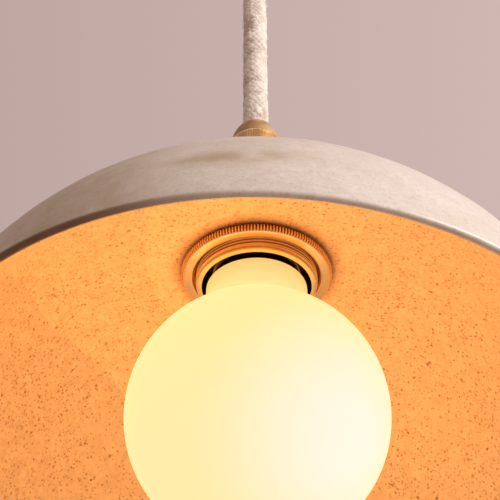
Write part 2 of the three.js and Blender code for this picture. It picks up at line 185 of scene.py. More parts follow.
class Paint:
    """A Principled material, with short ways to add the patterns that drive it."""

    def __init__(self, name, colour, roughness=0.5, **sockets):
        self.material = bpy.data.materials.new(name)
        self.material.use_nodes = True
        self.tree = self.material.node_tree
        self.shader = self.tree.nodes["Principled BSDF"]
        self.shader.inputs["Base Color"].default_value = (*colour, 1)
        self.shader.inputs["Roughness"].default_value = roughness
        for socket, value in sockets.items():
            self.shader.inputs[socket.replace("_", " ")].default_value = value
        self.place = self.node("TexCoord").outputs["Object"]

    def node(self, kind, inputs=None, **settings):
        """A new shader node with these inputs, each a value or another node's socket."""
        made = self.tree.nodes.new("ShaderNode" + kind)
        for key, value in settings.items():
            setattr(made, key, value)
        for key, value in (inputs or {}).items():
            if isinstance(value, bpy.types.NodeSocket):
                self.tree.links.new(value, made.inputs[key])
            else:
                made.inputs[key].default_value = value
        return made

    def math(self, operation, a, b=0.0):
        return self.node("Math", {0: a, 1: b}, operation=operation).outputs[0]

    def vector(self, operation, a, b=(0, 0, 0)):
        return self.node("VectorMath", {0: a, 1: b}, operation=operation).outputs[0]

    def noise(self, scale, detail=3.0, roughness=0.5, place=None, distortion=0.0):
        inputs = {"Vector": place or self.place, "Scale": scale, "Detail": detail}
        inputs.update({"Roughness": roughness, "Distortion": distortion})
        return self.node("TexNoise", inputs).outputs["Fac"]

    def voronoi(self, scale, output="Distance", place=None):
        inputs = {"Vector": place or self.place, "Scale": scale}
        return self.node("TexVoronoi", inputs).outputs[output]

    def attribute(self, name):
        return self.node("Attribute", attribute_name=name).outputs["Fac"]

    def span(self, value, low, high, to_low=0.0, to_high=1.0):
        """Maps low..high of a value to to_low..to_high, held at the ends."""
        inputs = {"Value": value, "From Min": low, "From Max": high, "To Min": to_low, "To Max": to_high}
        return self.node("MapRange", inputs).outputs[0]

    def mix_by(self, factor, a, b):
        """A mix of two colours, each a socket or three numbers."""
        colour = lambda c: c if isinstance(c, bpy.types.NodeSocket) else (*c, 1)
        inputs = {0: factor, 6: colour(a), 7: colour(b)}
        return self.node("Mix", inputs, data_type="RGBA").outputs[2]

    def round_place(self, across, along, around):
        """Coordinates that follow a turned part: distance from its axis, height, and angle."""
        split = self.node("SeparateXYZ", {0: self.place})
        x, y, z = (split.outputs[i] for i in range(3))
        squares = self.math("ADD", self.math("MULTIPLY", x, x), self.math("MULTIPLY", y, y))
        reach = self.math("SQRT", squares)
        angle = self.math("ARCTAN2", y, x)
        parts = {
            0: self.math("MULTIPLY", reach, across),
            1: self.math("MULTIPLY", z, along),
            2: self.math("MULTIPLY", angle, around),
        }
        return self.node("CombineXYZ", parts).outputs[0]

    def colour_from(self, socket):
        self.tree.links.new(socket, self.shader.inputs["Base Color"])

    def rough_from(self, socket):
        self.tree.links.new(socket, self.shader.inputs["Roughness"])

    def bump_from(self, socket, strength, distance):
        inputs = {"Height": socket, "Strength": strength, "Distance": distance}
        bump = self.node("Bump", inputs).outputs[0]
        self.tree.links.new(bump, self.shader.inputs["Normal"])


# ---------------------------------------------------------------- materials


def brass_paint(name, bright, dull, polish=0.3, groove=0.00004):
    """Turned brass: fine lathe lines, a slightly uneven lacquer, and red-brown in the grooves, part
    patina and part painted shade.
    """
    paint = Paint(name, bright, polish, Metallic=1.0)
    lines = paint.noise(1.0, 2.0, 0.6, paint.round_place(2600, 2600, 0.5))
    cloud = paint.noise(140, 4.0, 0.6)
    clean = paint.mix_by(paint.span(cloud, 0.35, 0.7), bright, dull)
    # Painted shade: the grooves are darkened red-brown, partly patina and partly standing for the shade
    # that falls in them.
    patina_and_groove_shade = paint.math("MULTIPLY", paint.attribute("groove"), 0.9)
    paint.colour_from(paint.mix_by(patina_and_groove_shade, clean, (0.42, 0.11, 0.02)))
    uneven = paint.math("ADD", paint.span(cloud, 0.3, 0.7, polish - 0.05, polish + 0.08),
                        paint.span(lines, 0.3, 0.7, -0.03, 0.05))
    paint.rough_from(uneven)
    paint.bump_from(lines, 0.3, groove)
    return paint.material


def steel_paint():
    paint = Paint("zinc_plate", (0.62, 0.63, 0.64), 0.36, Metallic=1.0)
    spangle = paint.voronoi(900, output="Color")
    paint.colour_from(paint.mix_by(paint.span(spangle, 0.0, 1.0), (0.58, 0.59, 0.6), (0.66, 0.66, 0.65)))
    cloud = paint.noise(300, 4.0)
    paint.rough_from(paint.span(cloud, 0.3, 0.7, 0.3, 0.42))
    paint.bump_from(paint.noise(2500, 3.0), 0.1, 0.00003)
    return paint.material


def moulded_paint(name, colour, roughness, metres=0.00003, level=0.5):
    """Moulded or glazed stuff: barely uneven colour, fine surface grain."""
    paint = Paint(name, colour, roughness, Specular_IOR_Level=level)
    cloud = paint.noise(220, 4.0)
    dark = tuple(c * 0.86 for c in colour)
    light = tuple(min(1.0, c * 1.06) for c in colour)
    paint.colour_from(paint.mix_by(paint.span(cloud, 0.3, 0.7), dark, light))
    paint.rough_from(paint.span(cloud, 0.3, 0.7, roughness - 0.06, roughness + 0.08))
    paint.bump_from(paint.noise(1800, 3.0), 0.2, metres)
    return paint.material


# Per layer: cells per metre, the dot's core and its soft edge as parts of a cell, share of
# cells with a dot, and weight.
SPECKS = ((500, 0.1, 0.31, 0.85, 0.95), (950, 0.14, 0.42, 1.0, 0.95))
FLECKS = ((280, 0.07, 0.17, 0.35, 1.0), (620, 0.12, 0.27, 0.45, 0.9))


def specks(paint, seed, layers):
    """Iron specks of uneven size and strength, gathered in loose clusters."""
    place = paint.vector("ADD", paint.place, (seed, seed * 0.7, 0.3))
    cluster = paint.noise(70, 3.0, 0.6, place)
    found = None
    for scale, core, edge, share, weight in layers:
        wobble = paint.node("TexNoise", {"Vector": place, "Scale": scale * 1.6, "Detail": 1.0})
        scaled = {0: wobble.outputs["Color"], 3: 0.6 / scale}
        shift = paint.node("VectorMath", scaled, operation="SCALE").outputs[0]
        moved = paint.vector("ADD", place, shift)
        split = paint.node("SeparateColor", {0: paint.voronoi(scale, "Color", moved)})
        chance, size, tone = (split.outputs[i] for i in range(3))
        kept = paint.math("LESS_THAN", chance, paint.span(cluster, 0.36, 0.66, share * 0.3, share))
        near = paint.voronoi(scale, place=moved)
        reach = paint.math("DIVIDE", near, paint.span(size, 0.0, 1.0, 0.6, 1.3))
        strength = paint.span(tone, 0.0, 1.0, 0.5, 1.0)
        dot = paint.math("MULTIPLY", paint.span(reach, core, edge, weight, 0.0), strength)
        layer = paint.math("MULTIPLY", kept, dot)
        found = layer if found is None else paint.math("MAXIMUM", found, layer)
    return found


def stoneware_paint():
    """Cream satin glaze, finely mottled, with brown patches at the front that carry painted shade on
    their left and a painted reflection of the cord, and a browned rim edge that is darker on the left as
    painted shade.
    The inside has iron specks, is painted warmer to stand for the bulb's light, and has painted shade
    round the ring."""
    paint = Paint("stoneware_glaze", (0.74, 0.64, 0.52), 0.4, Coat_Weight=0.35, Coat_Roughness=0.32)
    inside = paint.attribute("inside")
    cloud = paint.noise(34, 3.0, 0.6, distortion=0.8)
    fine = paint.noise(260, 4.0, 0.65)
    grain = paint.noise(900, 3.0, 0.7)
    outer = paint.mix_by(paint.span(cloud, 0.38, 0.68), (0.85, 0.81, 0.76), (0.76, 0.695, 0.62))
    outer = paint.mix_by(paint.span(fine, 0.4, 0.7, 0.0, 0.45), outer, (0.66, 0.58, 0.48))
    outer = paint.mix_by(paint.span(grain, 0.45, 0.7, 0.0, 0.4), outer, (0.6, 0.52, 0.43))
    faint = paint.math("MULTIPLY", specks(paint, 1.0, SPECKS), 0.3)
    outer = paint.mix_by(faint, outer, (0.36, 0.25, 0.16))
    # Outside, this layer holds brown patches with painted shade on the left and a painted reflection of
    # the cord. Inside, it is painted shade round the ring.
    patch_and_shade_mask = paint.attribute("brown_patches_and_shade")
    ragged = paint.math("ADD", patch_and_shade_mask, paint.span(paint.noise(150, 5.0, 0.7), 0.3, 0.7, -0.35, 0.35))
    brown_patches_and_shade = paint.math("MULTIPLY", patch_and_shade_mask, paint.span(ragged, 0.2, 0.9, 0.25, 1.0))
    outer = paint.mix_by(paint.math("MULTIPLY", brown_patches_and_shade, 0.9), outer, (0.5, 0.37, 0.22))
    # Partly painted light: the speckled glaze inside is made warmer orange, standing for the bulb's warm
    # light on it.
    inner = paint.mix_by(paint.span(fine, 0.35, 0.65), (0.72, 0.53, 0.3), (0.84, 0.64, 0.39))
    inner = paint.mix_by(paint.span(grain, 0.5, 0.72, 0.0, 0.5), inner, (0.55, 0.36, 0.18))
    inner = paint.mix_by(specks(paint, 0.0, SPECKS), inner, (0.38, 0.12, 0.022))
    inner = paint.mix_by(specks(paint, 2.0, FLECKS), inner, (0.2, 0.05, 0.01))
    # Painted shade: the inside is darkened red-brown round the ring, where its contact shadow falls.
    inner = paint.mix_by(paint.math("MULTIPLY", patch_and_shade_mask, 0.8), inner, (0.42, 0.16, 0.05))
    # Partly painted shade: the rim edge is browned where the glaze breaks over it, and only on the left,
    # where the rim lies in shade.
    toasted_and_shaded_rim = paint.mix_by(paint.span(fine, 0.3, 0.7), (0.145, 0.077, 0.042), (0.22, 0.122, 0.071))
    body = paint.mix_by(inside, outer, inner)
    paint.colour_from(paint.mix_by(paint.attribute("edge"), body, toasted_and_shaded_rim))
    paint.rough_from(paint.span(inside, 0.0, 1.0, 0.42, 0.55))
    swell = paint.math("ADD", paint.noise(90, 2.0), paint.math("MULTIPLY", fine, 0.35))
    paint.bump_from(swell, 0.22, 0.0004)
    return paint.material


def opal_paint():
    """Matt opal glass, lit from inside: rich yellow at the neck, and a nearly white painted highlight
    low on the front right, where the daylight falls.
    """
    paint = Paint("opal_glass", (0.34, 0.32, 0.28), 0.4)
    split = paint.node("SeparateXYZ", {0: paint.place})
    up = paint.span(split.outputs[2], LIP + GLOBE.centre * MM, LIP, 0.0, 1.0)
    warmth = paint.node("ValToRGB", {0: up})
    ramp(warmth, [(0.0, (0.97, 0.79, 0.36)), (0.5, (0.96, 0.75, 0.34)),
                  (0.72, (0.96, 0.73, 0.32)), (0.85, (0.95, 0.62, 0.23)), (1.0, (0.85, 0.46, 0.13))])
    middle = (0, 0, LIP + GLOBE.centre * MM)
    radial = paint.vector("NORMALIZE", paint.vector("SUBTRACT", paint.place, middle))
    # Painted highlight: the globe's lower front right turns near white, where the daylight from the
    # right falls on it.
    highlight_way = {0: radial, 1: (0.66, -0.56, -0.5)}
    towards = paint.node("VectorMath", highlight_way, operation="DOT_PRODUCT").outputs["Value"]
    painted_highlight = paint.math("POWER", paint.span(towards, 0.35, 1.0), 1.6)
    grain = paint.noise(260, 3.0)
    glow = paint.mix_by(paint.span(grain, 0.3, 0.7, 0.0, 0.05), warmth.outputs[0], (1.0, 0.9, 0.6))
    glow = paint.mix_by(painted_highlight, glow, (1.0, 0.885, 0.75))
    paint.tree.links.new(glow, paint.shader.inputs["Emission Color"])
    paint.shader.inputs["Emission Strength"].default_value = 0.95
    paint.bump_from(grain, 0.05, 0.00005)
    return paint.material


def linen_paint(name):
    """Natural linen: each yarn and slub has its own tone, darker between the yarns as painted shade."""
    paint = Paint(name, (0.76, 0.68, 0.58), 0.92, Sheen_Weight=0.3, Sheen_Roughness=0.5)
    tone = paint.attribute("tone")
    crevice_shade = paint.attribute("crevice_shade")
    blotch = paint.noise(300, 4.0, 0.65)
    fibre = paint.math("ADD", paint.math("MULTIPLY", tone, 0.7), paint.math("MULTIPLY", blotch, 0.6))
    yarn = paint.mix_by(paint.span(fibre, 0.4, 1.1), (1.0, 0.97, 0.94), (0.84, 0.75, 0.66))
    # Painted shade: the braid is darkened where it lies low between the yarns.
    paint.colour_from(paint.mix_by(paint.span(crevice_shade, 0.25, 0.95, 0.0, 0.65), yarn, (0.42, 0.29, 0.2)))
    paint.bump_from(paint.noise(2600, 3.0, 0.7), 0.5, 0.0001)
    return paint.material


# ---------------------------------------------------------------- shape helpers


def arc(r, h, radius, start, end, steps):
    """Points along an arc in the (radius, height) half-plane, between two angles in degrees."""
    angles = np.radians(np.linspace(start, end, steps + 1))
    return [(r + radius * math.cos(a), h + radius * math.sin(a)) for a in angles]


def soften(corners):
    """A closed outline of (radius, height, cut) corners, each rounded off over its cut."""
    made = []
    for i, corner in enumerate(corners):
        p, reach = np.array(corner[:2], float), corner[2]
        before, after = (np.array(corners[j % len(corners)][:2], float) for j in (i - 1, i + 1))
        back, on = before - p, after - p
        t = min(reach, 0.45 * np.linalg.norm(back), 0.45 * np.linalg.norm(on))
        a, b = p + back / np.linalg.norm(back) * t, p + on / np.linalg.norm(on) * t
        for s in np.linspace(0, 1, 4):
            made.append(tuple((1 - s) ** 2 * a + 2 * s * (1 - s) * p + s * s * b))
    return made


def split_long(outline, step):
    """The same closed outline with its long straight stretches cut into steps."""
    made = []
    for i, start in enumerate(outline):
        a, b = np.array(start), np.array(outline[(i + 1) % len(outline)])
        parts = max(1, math.ceil(np.linalg.norm(b - a) / step))
        made += [tuple(a + (b - a) * k / parts) for k in range(parts)]
    return made


def height_steps(r, low, high, step):
    """Points up a straight wall."""
    return [(r, h) for h in np.arange(low, high, step)]


def add_layer(mesh, name, values):
    """Stores a value per vertex, which the materials read by its name."""
    layer = mesh.attributes.new(name, "FLOAT", "POINT")
    layer.data.foreach_set("value", np.asarray(values, np.float32).ravel())


def new_piece(name, vertices, faces, material, sharp=35):
    """A smooth-shaded mesh object with its faces turned outwards."""
    mesh = bpy.data.meshes.new(name)
    mesh.from_pydata([tuple(v) for v in vertices], [], faces)
    build = bmesh.new()
    build.from_mesh(mesh)
    bmesh.ops.remove_doubles(build, verts=build.verts, dist=1e-7)
    bmesh.ops.recalc_face_normals(build, faces=build.faces)
    build.to_mesh(mesh)
    build.free()
    mesh.polygons.foreach_set("use_smooth", [True] * len(mesh.polygons))
    mesh.set_sharp_from_angle(angle=math.radians(sharp))
    mesh.materials.append(material)
    return put(name, mesh)


def spun(r, angle, h):
    """Points at these radii, angles and heights, as vertices in metres."""
    points = [r * np.cos(angle) * MM, r * np.sin(angle) * MM, h * MM + LIP]
    return np.stack(points, axis=2).reshape(-1, 3).tolist()


def revolve(name, outline, segments, material, reshape=None, sharp=35):
    """A solid of revolution. The outline is a loop, or a line that starts and ends on the axis.
    reshape(angle, radius, height) may move the points, as a knurl or a thread does."""
    angle = np.linspace(0, TAU, segments, endpoint=False)[:, None]
    on_axis = outline[0][0] == 0 and outline[-1][0] == 0
    ring = outline[1:-1] if on_axis else outline
    r = np.array([p[0] for p in ring])[None, :] + 0 * angle
    h = np.array([p[1] for p in ring])[None, :] + 0 * angle
    depth = np.zeros_like(r)
    if reshape:
        before = r
        r, h = reshape(angle, r, h)
        depth = before - r
    vertices = spun(r, angle, h)
    across = len(ring)
    columns = across - 1 if on_axis else across
    faces = []
    for i in range(segments):
        here, there = i * across, (i + 1) % segments * across
        for j in range(columns):
            k = (j + 1) % across
            faces.append((here + j, there + j, there + k, here + k))
    if on_axis:
        for end, j in ((outline[0], 0), (outline[-1], across - 1)):
            vertices.append((0, 0, end[1] * MM + LIP))
            tip = len(vertices) - 1
            faces += [(i * across + j, (i + 1) % segments * across + j, tip) for i in range(segments)]
    piece = new_piece(name, vertices, faces, material, sharp)
    if reshape and len(piece.data.vertices) == depth.size:
        # How far a point was cut in. The brass paints darken these grooves, partly as painted shade.
        add_layer(piece.data, "groove", np.clip((depth - 0.04) / 0.26, 0, 1))
    return piece


def knurl(count, depth, low, high, outer, fade=0.4, width=1.1):
    """A reshape for ribs along the axis between two heights. A larger width opens the valleys."""

    def reshape(angle, r, h):
        valley = 1 - np.abs(np.cos(angle * count / 2)) ** width
        side = np.clip((r - (outer - 0.6)) / 0.3, 0, 1)
        ends = np.clip((h - low) / fade, 0, 1) * np.clip((high - h) / fade, 0, 1)
        return r - depth * valley * side * ends, h

    return reshape


def thread(pitch, depth, low, high, crest, fade=0.5, outwards=math.inf):
    """A reshape for a right-hand thread between two heights, on the points near the crest radius,
    or also on all beyond it."""
    inwards = min(0.3, outwards)

    def reshape(angle, r, h):
        phase = (h / pitch - angle / TAU) % 1
        cut = 0.5 - 0.5 * np.cos(phase * TAU)
        run = np.clip((h - low) / fade, 0, 1) * np.clip((high - h) / fade, 0, 1)
        near = (r > crest - inwards) & (r < crest + outwards)
        return r - depth * cut * run * near, h

    return reshape


def nipple_thread(low, high, crest):
    """A thread of 1 mm pitch, as M10 nipples have, that leaves the walls at other radii alone."""
    return thread(1.0, 0.45, low, high, crest, fade=0.4, outwards=0.2)


def carve(piece, *cutters):
    """Cuts closed bodies out of a piece."""
    for cutter in cutters:
        piece.modifiers.new("cut", "BOOLEAN").object = cutter
    evaluated = piece.evaluated_get(bpy.context.evaluated_depsgraph_get())
    cut_mesh = bpy.data.meshes.new_from_object(evaluated)
    piece.modifiers.clear()
    piece.data = cut_mesh
    piece.data.set_sharp_from_angle(angle=math.radians(35))
    for cutter in cutters:
        bpy.data.objects.remove(cutter)


def block(name, low, high, material):
    """A box between two corners, in millimetres."""
    corners = [(x * MM, y * MM, h * MM + LIP) for x, y, h in itertools.product(*zip(low, high))]
    faces = [(0, 1, 3, 2), (4, 5, 7, 6), (0, 1, 5, 4), (2, 3, 7, 6), (0, 2, 6, 4), (1, 3, 7, 5)]
    return new_piece(name, corners, faces, material)


def tubes(name, routes, radii, sides, material):
    """Round tubes along routes of points in millimetres, each closed at its ends, as one mesh.
    The radius is one number, or one for each point of a route."""
    vertices, faces = [], []
    for route in routes:
        points = np.array(route, float)
        along = np.gradient(points, axis=0)
        along /= np.linalg.norm(along, axis=1)[:, None]
        side = np.cross(along[0], (0, 0, 1) if abs(along[0][2]) < 0.9 else (1, 0, 0))
        first = len(vertices)
        for i, (point, way) in enumerate(zip(points, along)):
            side = side - way * np.dot(side, way)
            side /= np.linalg.norm(side)
            other = np.cross(way, side)
            radius = radii[i] if hasattr(radii, "__len__") else radii
            for a in np.linspace(0, TAU, sides, endpoint=False):
                x, y, h = point + radius * (math.cos(a) * side + math.sin(a) * other)
                vertices.append((x * MM, y * MM, h * MM + LIP))
        for i in range(len(points) - 1):
            here, there = first + i * sides, first + (i + 1) * sides
            around = [(j, (j + 1) % sides) for j in range(sides)]
            faces += [(here + j, here + k, there + k, there + j) for j, k in around]
        faces.append(tuple(first + j for j in reversed(range(sides))))
        faces.append(tuple(first + (len(points) - 1) * sides + j for j in range(sides)))
    return new_piece(name, vertices, faces, material, sharp=60)


def dress(piece, body, slot, *nodes):
    """The piece rides on its body and stands for these CAD nodes. The slot is not used."""
    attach(piece, body)
    if nodes:
        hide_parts(*nodes)
    return piece


# ---------------------------------------------------------------- cord

CORD = Sizes(radius=4.25, carriers=10, pitch=25.0, relief=0.42)
FUZZ = Sizes(hairs=1500, radii=(0.045, 0.045, 0.04, 0.03, 0.015))


def patchy(angle, along, rng, size):
    """Smooth random values over the cord, changing about every size millimetres."""
    around = max(3, round(TAU * CORD.radius / size))
    rows = int(np.ptp(along) / size) + 3
    grid = rng.random((rows, around)) - 0.5
    u, v = angle / TAU % 1 * around, (along - along.min()) / size
    i, j = np.floor(u).astype(int), np.floor(v).astype(int)
    a, b = u - i, v - j
    a, b = a * a * (3 - 2 * a), b * b * (3 - 2 * b)
    i, k = i % around, (i + 1) % around
    low = grid[j, i] * (1 - a) + grid[j, k] * a
    high = grid[j + 1, i] * (1 - a) + grid[j + 1, k] * a
    return low * (1 - b) + high * b


def cord_surface(angle, along, rng):
    """How far the loose braid stands out at each point, the yarn's tone there, and painted shade where
    it lies low.
    """
    count, pitch = CORD.carriers, CORD.pitch
    turn = angle + 0.22 * patchy(angle, along, rng, 5.0) + 0.1 * patchy(angle, along, rng, 2.2)
    rise = along + 2.6 * patchy(angle, along, rng, 6.5) + 1.1 * patchy(angle, along, rng, 2.4)
    u = count * (turn / TAU + rise / pitch)
    v = count * (turn / TAU - rise / pitch)
    over = (np.floor(u) + np.floor(v)) % 2 < 1
    a, b = np.where(over, u % 1, v % 1), np.where(over, v % 1, u % 1)
    yarn = np.where(over, np.floor(u) % count, count + np.floor(v) % count).astype(int)
    thick = 0.7 + 0.5 * rng.random(2 * count)
    body = np.sqrt(np.clip(1 - (2 * a - 1) ** 2 * 0.96, 0, 1))
    crest = 0.6 + 0.4 * np.sin(np.pi * b)
    ply = 0.1 * np.abs(np.sin((2.5 * a + 0.6 * b) * np.pi))
    nap = 0.35 * patchy(angle, along, rng, 0.9) + 0.25 * patchy(angle, along, rng, 0.45)
    out = 0.25 + 0.6 * body * crest * thick[yarn] + ply + nap + 1.25 * patchy(angle, along, rng, 3.0)
    tone = rng.random(2 * count)[yarn] * 0.5 + 0.5 + 0.9 * patchy(angle, along, rng, 1.7)
    # The last value is painted shade: more where the braid lies low.
    return np.clip(out, 0, 1.6), tone, np.clip(1.05 - out, 0, 1)


def make_cord(linen, hair, brass):
    """The linen-covered cord, from inside the lamp's grip up into the ceiling grip, and its fuzz."""
    rng = np.random.default_rng(7)
    low, high = heights("cord")
    rows, sides = 1000, 200
    along = np.linspace(low, high, rows)[:, None]
    angle = np.linspace(0, TAU, sides, endpoint=False)[None, :]
    out, tone, crevice_shade = cord_surface(angle, along, rng)
    in_nut, in_rose, squeeze, mean = 14, 9, 0.35, 0.75
    free = np.clip((along - low - in_nut) / 2, 0, 1) * np.clip((high - in_rose - along) / 3, 0, 1)
    relief = CORD.relief * (out - mean) * (0.3 + 0.7 * free)
    r = CORD.radius + relief - squeeze * (1 - free)
    vertices = spun(r, angle, along + 0 * angle)
    faces = []
    for i in range(rows - 1):
        for j in range(sides):
            k = (j + 1) % sides
            faces.append((i * sides + j, i * sides + k, (i + 1) * sides + k, (i + 1) * sides + j))
    faces += [tuple(range(sides))[::-1], tuple((rows - 1) * sides + j for j in range(sides))]
    piece = new_piece("cord_linen", vertices, faces, linen, sharp=180)
    add_layer(piece.data, "tone", np.clip(tone, 0, 1))
    add_layer(piece.data, "crevice_shade", np.clip(crevice_shade, 0, 1))
    dress(piece, "hanging_cord", "linen", "cord")
    fuzz = make_fuzz(hair, low + in_nut + 3, high - in_rose - 4)
    grip = make_rose_grip(brass)


def make_fuzz(hair, low, high):
    """Loose linen fibres: short bent hairs that start in the braid and stand a little off it."""
    rng = np.random.default_rng(11)
    routes = []
    for _ in range(FUZZ.hairs):
        turn, start = rng.uniform(0, TAU), rng.uniform(low, high)
        sway, climb = rng.normal(0, 0.35), rng.normal(0, 1.5)
        lift = rng.uniform(0.15, 0.6)
        points = []
        for t in np.linspace(0, 1, len(FUZZ.radii)):
            r = CORD.radius - 0.45 + (0.35 + lift) * math.sin(math.pi * (0.15 + 0.55 * t))
            a = turn + sway * t + 0.06 * math.sin(5 * t + turn)
            h = min(max(start + climb * t, low), high)
            points.append((r * math.cos(a), r * math.sin(a), h))
        routes.append(points)
    piece = tubes("cord_fuzz", routes, FUZZ.radii, 3, hair)
    return dress(piece, "hanging_cord", "linen")


# ---------------------------------------------------------------- stoneware dome

DOME = Sizes(hole=20.3, seat=26.1, top=13.6, crown=72, flank=108.9, centre=-84.5, rim=17.45)
BOWL = Sizes(top=6.8, seat=29.1, crown=64.2, flank=105.3, centre=-86.5, rim=18.65)
# The rim's two roundings, and how much thinner its wall gets from the given height down.
RIM_OUTER, RIM_INNER, RIM_THINNING, THINNING_FROM = 1.4, 1.2, 1.5, -30


def dome_outline():
    """The dome's section, from the hole over the outside to the rim and back along the inside."""
    outer_turn, inner_turn = math.radians(DOME.rim), math.radians(BOWL.rim)
    outer_reach, inner_reach = DOME.flank - RIM_OUTER, BOWL.flank + RIM_INNER
    outside = [(DOME.hole, DOME.top - 0.5), (DOME.hole + 0.5, DOME.top)]
    outside += arc(DOME.seat, DOME.top - DOME.crown, DOME.crown, 90, 45, 26)
    outside += arc(0, DOME.centre, DOME.flank, 45, DOME.rim, 22)[1:]
    outside += arc(outer_reach * math.cos(outer_turn), DOME.centre + outer_reach * math.sin(outer_turn),
                   RIM_OUTER, DOME.rim, -90, 12)[1:]
    inside = arc(inner_reach * math.cos(inner_turn), BOWL.centre + inner_reach * math.sin(inner_turn),
                 RIM_INNER, -90, BOWL.rim - 180, 7)[1:]
    inside += arc(0, BOWL.centre, BOWL.flank, BOWL.rim, 45, 24)[1:]
    inside += arc(BOWL.seat, BOWL.top - BOWL.crown, BOWL.crown, 45, 90, 24)[1:]
    inside += [(DOME.hole + 0.5, BOWL.top), (DOME.hole, BOWL.top + 0.5)]
    thinning = lambda h: RIM_THINNING * max(0, (THINNING_FROM - h) / 21) ** 1.5
    return outside, [(r + thinning(h), h) for r, h in inside]


def hand_thrown(angle, r, h):
    """The faint waves that a wheel and a hand leave in clay, none of them at the rings' seat.
    The rim hangs lowest at the front right."""
    seat_free = np.clip((r - 30) / 30, 0, 1)
    near_rim = np.clip((-22 - h) / 28, 0, 1)
    rings = 0.06 * np.sin(h * 1.9 + 0.6 * angle) + 0.05 * np.sin(h * 0.83 + 2.0)
    wander = 0.14 * np.sin(2 * angle + 0.4) + 0.09 * np.sin(3 * angle + h * 0.05 + 1.1)
    wander += 0.05 * np.sin(7 * angle)
    low_azimuth, low_spread, lowest, mean, sag = 303, 28, 1.55, 0.4, 0.5
    low_side = lowest * np.exp(-((np.degrees(angle) - low_azimuth) / low_spread) ** 2) - mean
    drop = sag + low_side * near_rim - 0.1 * np.sin(2 * angle + 1.9)
    return r + seat_free * (rings + wander), h - seat_free * drop


def patch(turn, h, middle, spread):
    """A soft round patch on the dome, from 1 at its middle. Both pairs are (degrees, millimetres)."""
    return np.exp(-((turn - middle[0]) / spread[0]) ** 2 - ((h - middle[1]) / spread[1]) ** 2)


def patches_and_shade_at(turn, h):
    """Brown patches at the front: two patches, a faint brown left side that is painted shade, and a pale
    streak between them that is a painted reflection of the cord and nut.
    The turn is in degrees from the front."""
    slant = 0.25 * (h + 33.5)
    brown_patches_and_shade = patch(turn - slant, h, (0, -33.5), (15, 5.5))
    # Painted shade: the left of the front is browned, as it lies in shade.
    painted_left_shade = np.clip((-turn - 2) / 14, 0, 1) * np.clip((turn + 50) / 22, 0, 1)
    brown_patches_and_shade = np.maximum(brown_patches_and_shade, 0.75 * painted_left_shade)
    brown_patches_and_shade = np.maximum(brown_patches_and_shade, 0.6 * patch(turn, h, (-3, -38), (8, 3.5)))
    # Painted reflection: a pale streak under the cord stands for the cord and nut mirrored in the glaze.
    painted_cord_reflection = np.exp(-((turn - 4.2) / 1.8) ** 2) * np.clip((h + 37) / 3, 0, 1)
    return brown_patches_and_shade * (1 - 0.8 * painted_cord_reflection)


def make_dome(glaze):
    """The dome, with a value at each point for its inside, its browned edge with painted shade on the
    left, and its brown patches with painted shade and reflection outside and painted shade round the
    ring inside.
    """
    outside, inside = dome_outline()
    outline = outside + inside
    piece = revolve("dome_glazed", outline, 224, glaze, hand_thrown, sharp=60)
    points = np.array([v.co for v in piece.data.vertices])
    x, y, h = points[:, 0] / MM, points[:, 1] / MM, (points[:, 2] - LIP) / MM
    within = np.arange(len(points)) % len(outline) >= len(outside)
    rim_turn = math.radians(DOME.rim)
    rim_low = DOME.centre + (DOME.flank - RIM_OUTER) * math.sin(rim_turn) - RIM_OUTER
    sag = 0.55
    rise = h - rim_low + sag
    band = np.where(within, np.clip((1.5 - rise) / 1.2, 0, 1), np.clip(2.2 - rise, 0, 1))
    # Painted shade: the browned rim edge fades out towards the right, as the left of the rim lies in
    # shade.
    left = np.clip((-x - 5) / 42, 0, 1)
    front, ring_shade_reach = -95, 27.5
    turn = (np.degrees(np.arctan2(y, x)) - front + 180) % 360 - 180
    # Painted shade: full next to the ring on the inside, fading out at this radius.
    ring_contact_shade = np.clip((ring_shade_reach - np.hypot(x, y)) / 3, 0, 1)
    add_layer(piece.data, "inside", within)
    add_layer(piece.data, "edge", band * left)
    # Inside: painted shade round the ring. Outside: brown patches, with painted shade on the left and a
    # painted reflection of the cord.
    add_layer(piece.data, "brown_patches_and_shade", np.where(within, ring_contact_shade, patches_and_shade_at(turn, h)))
    dress(piece, "shade", "stoneware", "dome_shade")


# ---------------------------------------------------------------- brass

RING = Sizes(teeth=150, depth=0.55, radius=24.3, bore=19.8, thick=2.5)
SKIRT = Sizes(bore=17.5, thread=19.6, lip=19.2, groove=18.5, pitch=1.2, depth=0.62,
              ledge=11)
NUT = Sizes(ribs=96, band=8.9, bore=4.75, band_low=55.6, band_high=63.1)
GRIP = Sizes(collar=7.9, nipple=5.0, outer=7.4, bore=4.65, flex_bore=3.6, seat=55,
             collar_low=49.15, collar_high=51.2)
EDISON = Sizes(pitch=3.63, depth=1.1)
SIDE_SCREW = Sizes(height=222.5, shank=2.0, head=3.6, inner=43, seat=50.15)


def make_shade_ring(name, node, body, brass, face_down):
    """A knurled shade ring with a chamfered edge and a dished inner chamfer on its showing face."""
    low, high = heights(node)
    radius, bore, thick = RING.radius, RING.bore, RING.thick
    face = [(bore, 1.0, 0.1), (bore + 0.75, 0.2, 0.15), (bore + 1.0, 0.0, 0.1), (bore + 2.2, 0.0, 0.02),
            (radius - 0.85, 0.0, 0.12), (radius, 0.72, 0.12)]
    back = [(radius, thick - 0.2, 0.15), (radius - 0.25, thick, 0.1), (bore + 0.3, thick, 0.1),
            (bore, thick - 0.3, 0.1)]
    flip = (lambda z: low + z) if face_down else (lambda z: high - z)
    corners = [(r, flip(z), cut) for r, z, cut in face + back]
    outline = split_long(soften(corners), 0.35)
    ribs = knurl(RING.teeth, RING.depth, low - 1, high + 1, radius, 0.1)
    piece = revolve(name, outline, RING.teeth * 8, brass, ribs, sharp=50)
    dress(piece, body, "brass", node)


